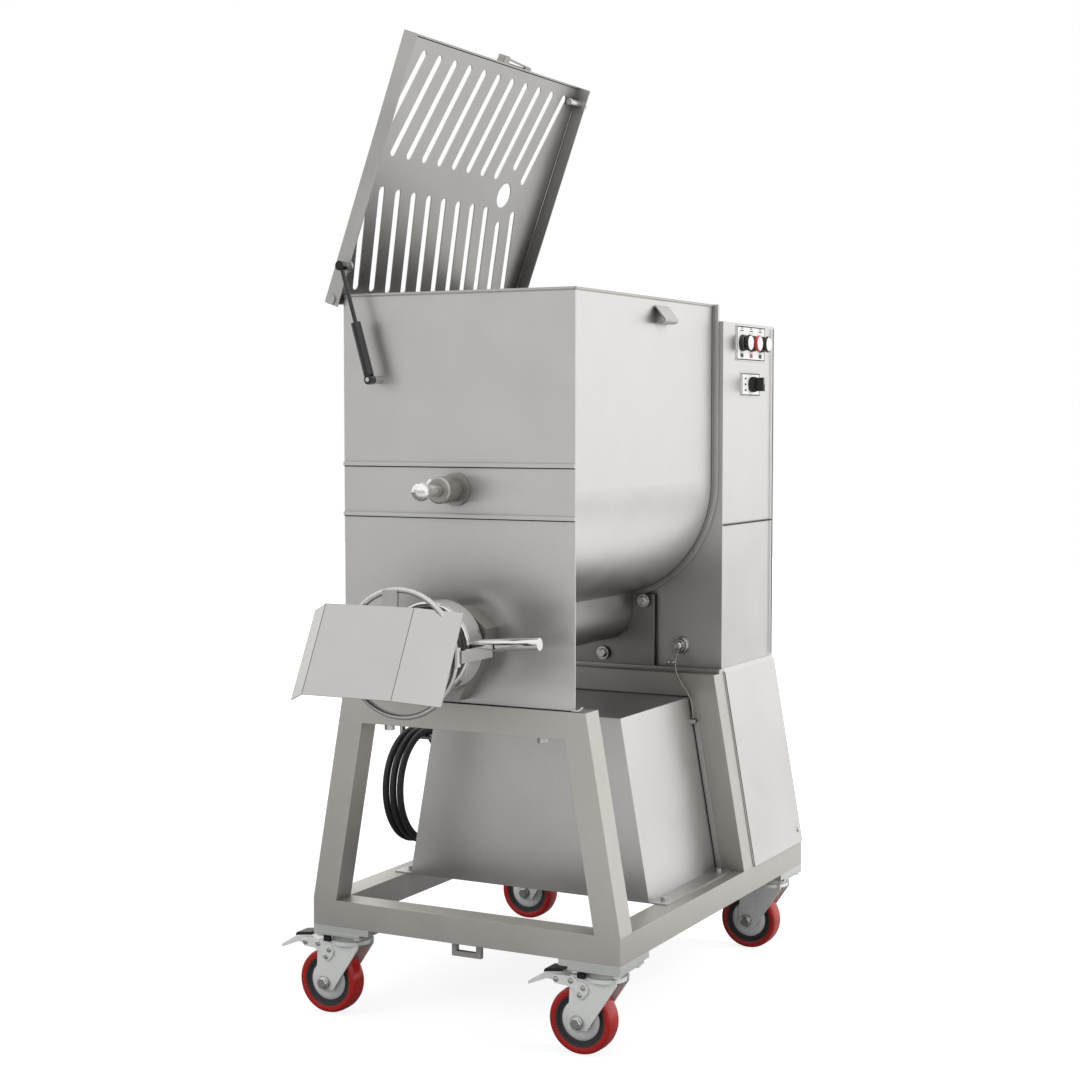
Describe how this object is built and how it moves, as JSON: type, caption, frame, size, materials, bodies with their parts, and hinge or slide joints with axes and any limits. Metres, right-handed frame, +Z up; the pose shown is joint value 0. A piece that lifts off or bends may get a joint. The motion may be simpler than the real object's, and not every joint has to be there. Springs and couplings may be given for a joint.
{
  "type": "electric meat grinder",
  "caption": "Floor-standing stainless meat mixer-grinder on casters: slotted hinged lid, U-shaped hopper with paddle, feed worm, grinder head with ring nut and guard, drive cabinet.",
  "frame": {"origin": "on the floor under the middle of the frame's footprint", "axes": "+Z up, -Y towards the grinder head at the front, +X to the side with the controls"},
  "size_m": [0.7555, 1.2065, 1.8765],
  "materials": {
    "stainless_sheet": "satin brushed stainless sheet",
    "stainless_tube": "bead-blasted stainless tube",
    "cast_stainless": "machined and blasted stainless casting",
    "polished_stainless": "polished stainless",
    "zinc_steel": "bright zinc plate",
    "red_tread": "cast red polyurethane on a dark core",
    "black_paint": "black enamel",
    "bright_rod": "ground and plated rod",
    "black_plastic": "moulded black plastic",
    "red_plastic": "moulded red plastic",
    "white_plate": "printed white plate",
    "cord_jacket": "black rubber jacket",
    "nickel_chain": "nickel-plated chain",
    "grey_paint": "grey machine enamel"
  },
  "bodies": {
    "chassis": {"bead_chain": "nickel_chain", "button_plate": "white_plate", "cabinet_body": "stainless_sheet", "caster_mount_front_left": "zinc_steel", "caster_mount_front_right": "zinc_steel", "caster_mount_rear_left": "zinc_steel", "caster_mount_rear_right": "zinc_steel", "cord_coil": "cord_jacket", "cord_gland": "black_plastic", "cord_lead": "cord_jacket", "cord_tail": "cord_jacket", "drain_plug": "cast_stainless", "drive_motor": "grey_paint", "front_frame": "stainless_tube", "front_panel": "stainless_sheet", "grinder_head": "cast_stainless", "grinding_plate": "polished_stainless", "hinge_rod": "polished_stainless", "hopper_back_plate": "stainless_sheet", "hopper_trough": "stainless_sheet", "lid_catch": "stainless_sheet", "lower_housing": "stainless_sheet", "middle_frame": "stainless_tube", "paddle_gearbox": "grey_paint", "pin_bush": "polished_stainless", "power_plug": "cord_jacket", "rear_cover": "stainless_sheet", "rear_frame": "stainless_tube", "selector_plate": "white_plate", "side_rail_left": "stainless_tube", "side_rail_right": "stainless_tube", "side_skirt_left": "stainless_sheet", "side_skirt_right": "stainless_sheet", "trough_support": "cast_stainless", "worm_gearbox": "grey_paint"},
    "lid": {"lid_panel": "stainless_sheet", "lid_latch": "stainless_sheet", "sensor_pin": "black_plastic"},
    "strut_body": {"strut_cylinder": "black_paint"},
    "strut_piston": {"strut_rod": "bright_rod"},
    "nut": {"ring_nut": "polished_stainless"},
    "guard": {"discharge_guard": "polished_stainless"},
    "worm": {"feed_worm": "polished_stainless", "knife": "polished_stainless"},
    "paddle": {"mixer_paddle": "polished_stainless"},
    "pull_pin": {"bearing_pin": "polished_stainless"},
    "start_cap": {"button_start": "black_plastic"},
    "stop_cap": {"button_stop": "red_plastic"},
    "reverse_cap": {"button_reverse": "black_plastic"},
    "selector": {"selector_knob": "black_plastic"},
    "fork_front_right": {"caster_fork_front_right": "zinc_steel"},
    "wheel_front_right": {"caster_wheel_front_right": "red_tread"},
    "fork_front_left": {"caster_fork_front_left": "zinc_steel"},
    "wheel_front_left": {"caster_wheel_front_left": "red_tread"},
    "fork_rear_right": {"caster_fork_rear_right": "zinc_steel"},
    "wheel_rear_right": {"caster_wheel_rear_right": "red_tread"},
    "fork_rear_left": {"caster_fork_rear_left": "zinc_steel"},
    "wheel_rear_left": {"caster_wheel_rear_left": "red_tread"},
    "pedal_front_right": {"brake_pedal_front_right": "zinc_steel"},
    "pedal_front_left": {"brake_pedal_front_left": "zinc_steel"}
  },
  "joints": [
    {"name": "lid_hinge", "type": "hinge", "parent": "chassis", "child": "lid", "pos_m": [-0.2736, 0, 1.382], "axis": [0, 1, 0], "range_deg": [0, 70], "stiffness_Nm_per_rad": 4, "springref_deg": -85.94},
    {"name": "strut_swing", "type": "hinge", "parent": "chassis", "child": "strut_body", "pos_m": [-0.173, -0.493, 1.2294], "axis": [0, 1, 0], "range_deg": [0, 3.36]},
    {"name": "strut_stroke", "type": "slide", "parent": "strut_body", "child": "strut_piston", "axis": [-0.2821, 0, 0.9594], "range_m": [-0.0807, 0]},
    {"name": "ring_nut_turn", "type": "hinge", "parent": "chassis", "child": "nut", "pos_m": [-0.0095, -0.53, 0.746], "axis": [0, -1, 0], "range_deg": [0, 540]},
    {"name": "guard_swing", "type": "hinge", "parent": "nut", "child": "guard", "pos_m": [0.1025, -0.655, 0.746], "axis": [0, 0, 1], "range_deg": [0, 110]},
    {"name": "worm_spin", "type": "hinge", "parent": "chassis", "child": "worm", "pos_m": [-0.0095, 0, 0.746], "axis": [0, -1, 0], "continuous": true},
    {"name": "paddle_spin", "type": "hinge", "parent": "chassis", "child": "paddle", "pos_m": [-0.0095, 0, 1.028], "axis": [0, -1, 0], "continuous": true},
    {"name": "pin_pull", "type": "slide", "parent": "chassis", "child": "pull_pin", "axis": [0, -1, 0], "range_m": [0, 0.06]},
    {"name": "selector_turn", "type": "hinge", "parent": "chassis", "child": "selector", "pos_m": [0.262, 0.327, 1.23], "axis": [1, 0, 0], "range_deg": [-45, 45]},
    {"name": "start_press", "type": "slide", "parent": "chassis", "child": "start_cap", "axis": [-1, 0, 0], "range_m": [0, 0.004], "stiffness_N_per_m": 400},
    {"name": "stop_press", "type": "slide", "parent": "chassis", "child": "stop_cap", "axis": [-1, 0, 0], "range_m": [0, 0.004], "stiffness_N_per_m": 400},
    {"name": "reverse_press", "type": "slide", "parent": "chassis", "child": "reverse_cap", "axis": [-1, 0, 0], "range_m": [0, 0.004], "stiffness_N_per_m": 400},
    {"name": "swivel_front_right", "type": "hinge", "parent": "chassis", "child": "fork_front_right", "pos_m": [0.275, -0.412, 0.15], "axis": [0, 0, 1], "continuous": true},
    {"name": "roll_front_right", "type": "hinge", "parent": "fork_front_right", "child": "wheel_front_right", "pos_m": [0.231, -0.412, 0.0635], "axis": [0, 1, 0], "continuous": true},
    {"name": "brake_front_right", "type": "hinge", "parent": "fork_front_right", "child": "pedal_front_right", "pos_m": [0.223, -0.412, 0.136], "axis": [0, -1, 0], "range_deg": [0, 8]},
    {"name": "swivel_front_left", "type": "hinge", "parent": "chassis", "child": "fork_front_left", "pos_m": [-0.275, -0.412, 0.15], "axis": [0, 0, 1], "continuous": true},
    {"name": "roll_front_left", "type": "hinge", "parent": "fork_front_left", "child": "wheel_front_left", "pos_m": [-0.319, -0.412, 0.0635], "axis": [0, 1, 0], "continuous": true},
    {"name": "brake_front_left", "type": "hinge", "parent": "fork_front_left", "child": "pedal_front_left", "pos_m": [-0.327, -0.412, 0.136], "axis": [0, -1, 0], "range_deg": [0, 8]},
    {"name": "swivel_rear_right", "type": "hinge", "parent": "chassis", "child": "fork_rear_right", "pos_m": [0.275, 0.412, 0.15], "axis": [0, 0, 1], "continuous": true},
    {"name": "roll_rear_right", "type": "hinge", "parent": "fork_rear_right", "child": "wheel_rear_right", "pos_m": [0.231, 0.412, 0.0635], "axis": [0, 1, 0], "continuous": true},
    {"name": "swivel_rear_left", "type": "hinge", "parent": "chassis", "child": "fork_rear_left", "pos_m": [-0.275, 0.412, 0.15], "axis": [0, 0, 1], "continuous": true},
    {"name": "roll_rear_left", "type": "hinge", "parent": "fork_rear_left", "child": "wheel_rear_left", "pos_m": [-0.319, 0.412, 0.0635], "axis": [0, 1, 0], "continuous": true}
  ],
  "couplings": [
    {"joint": "strut_swing", "follows": "lid_hinge", "ratio": 0.046535},
    {"joint": "strut_stroke", "follows": "lid_hinge", "m_per_rad": -0.065681}
  ]
}
